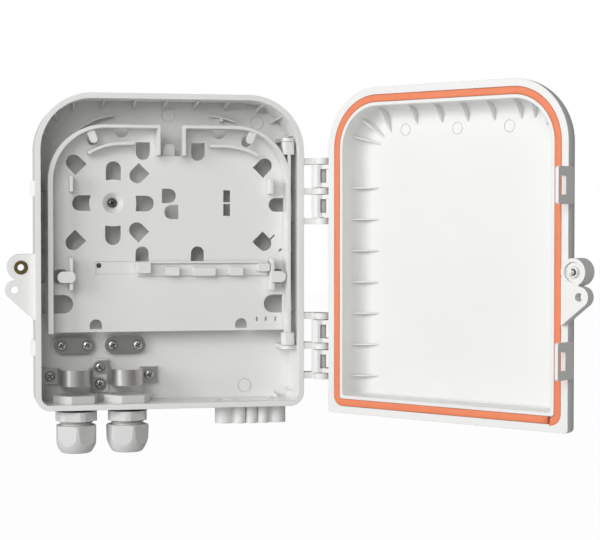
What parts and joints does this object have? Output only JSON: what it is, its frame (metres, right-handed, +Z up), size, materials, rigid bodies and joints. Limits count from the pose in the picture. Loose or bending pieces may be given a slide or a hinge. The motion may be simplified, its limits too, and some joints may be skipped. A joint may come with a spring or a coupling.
{
  "type": "fibre distribution box",
  "caption": "Wall box for fibre splices with a hinged gasketed lid, swing-out splice tray, screwed cable glands, cable clamps and drop-cable ports.",
  "frame": {"origin": "centre of the base's flat back face", "axes": "+Z up, +X towards the hinge side, +Y into the wall; the lid stands open at rest"},
  "size_m": [0.398, 0.2485, 0.283],
  "materials": {
    "abs_shell": "satin",
    "abs_tray": "satin",
    "nylon": "satin",
    "silicone": "matte",
    "rubber_black": "matte",
    "brass": "satin",
    "steel_bright": "satin",
    "steel_dark": "satin",
    "steel_plate": "satin"
  },
  "bodies": {
    "base": {"base_shell": "abs_shell", "lock_lug": "abs_shell", "drop_port_block": "abs_shell", "hinge_pins": "steel_bright", "lock_insert": "brass", "strength_plates": "steel_plate", "plate_screws": "steel_bright", "cable_saddle_left": "steel_bright", "cable_saddle_right": "steel_bright", "saddle_screws": "steel_bright", "gland_body_left": "nylon", "gland_locknut_left": "nylon", "gland_washer_left": "rubber_black", "gland_seal_left": "rubber_black", "gland_body_right": "nylon", "gland_locknut_right": "nylon", "gland_washer_right": "rubber_black", "gland_seal_right": "rubber_black"},
    "lid": {"lid_shell": "abs_shell", "lid_gasket": "silicone"},
    "lock": {"lock_screw": "steel_bright"},
    "tray": {"splice_tray": "abs_tray", "splice_comb": "abs_tray", "hub_screw": "steel_dark"},
    "nut_left": {"gland_nut_left": "nylon"},
    "nut_right": {"gland_nut_right": "nylon"}
  },
  "joints": [
    {"name": "lid_hinge", "type": "hinge", "parent": "base", "child": "lid", "pos_m": [0.1186, -0.0474, 0], "axis": [0, 0, 1], "range_deg": [-127.8, 47.2]},
    {"name": "tray_hinge", "type": "hinge", "parent": "base", "child": "tray", "pos_m": [0.094, -0.0315, 0], "axis": [0, 0, 1], "range_deg": [0, 95]},
    {"name": "lock_screw_turn", "type": "hinge", "parent": "lid", "child": "lock", "pos_m": [0.25857, -0.23535, -0.012], "axis": [-0.7902, -0.6129, 0], "continuous": true},
    {"name": "gland_nut_left_turn", "type": "hinge", "parent": "base", "child": "nut_left", "pos_m": [-0.073, -0.0225, -0.146], "axis": [0, 0, 1], "continuous": true},
    {"name": "gland_nut_right_turn", "type": "hinge", "parent": "base", "child": "nut_right", "pos_m": [-0.033, -0.0225, -0.146], "axis": [0, 0, 1], "continuous": true}
  ]
}
